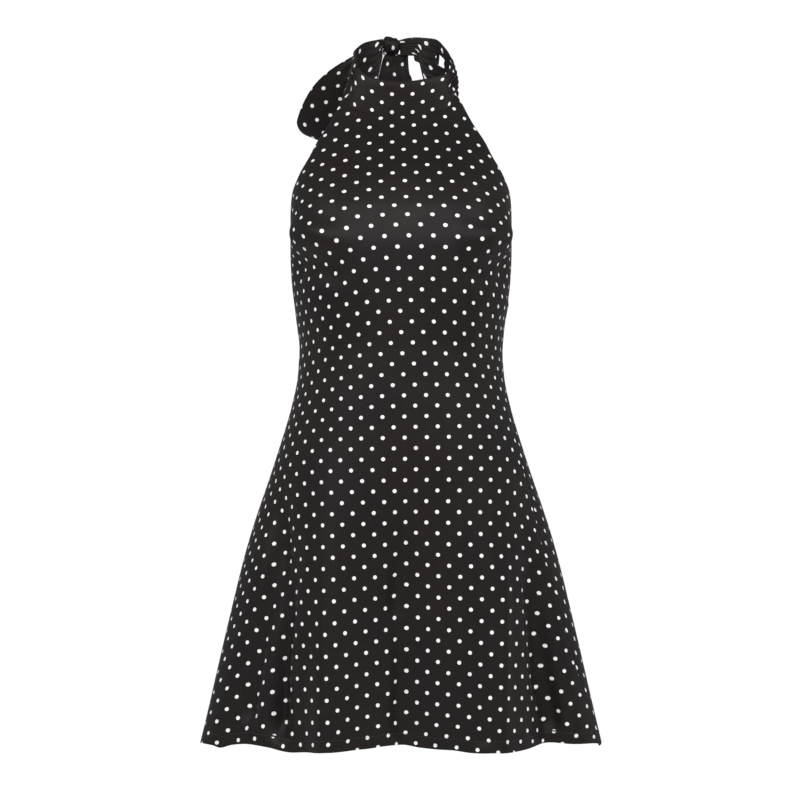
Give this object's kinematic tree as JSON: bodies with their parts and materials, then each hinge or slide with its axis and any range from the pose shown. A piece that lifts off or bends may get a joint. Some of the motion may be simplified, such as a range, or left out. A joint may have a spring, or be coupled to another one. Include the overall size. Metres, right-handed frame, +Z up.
{
  "type": "halter-neck a-line mini dress",
  "caption": "Sleeveless a-line mini dress with a high halter neck that ties in a bow behind, black stretch satin with small off-white polka dots, worn shape with nobody in it.",
  "frame": {"origin": "middle of the neck ring, where the wearer's neck carries the dress", "axes": "+Z up, the front of the dress faces -Y, the wearer's left is +X"},
  "size_m": [0.5012, 0.3019, 0.8938],
  "materials": {
    "dotted_satin": "soft sheen"
  },
  "bodies": {
    "root": {"front_panel": "dotted_satin", "back_panel": "dotted_satin", "neck_band": "dotted_satin", "knot": "dotted_satin", "bow_loop_left": "dotted_satin", "bow_loop_right": "dotted_satin", "tail_left": "dotted_satin", "tail_right": "dotted_satin"}
  },
  "joints": []
}
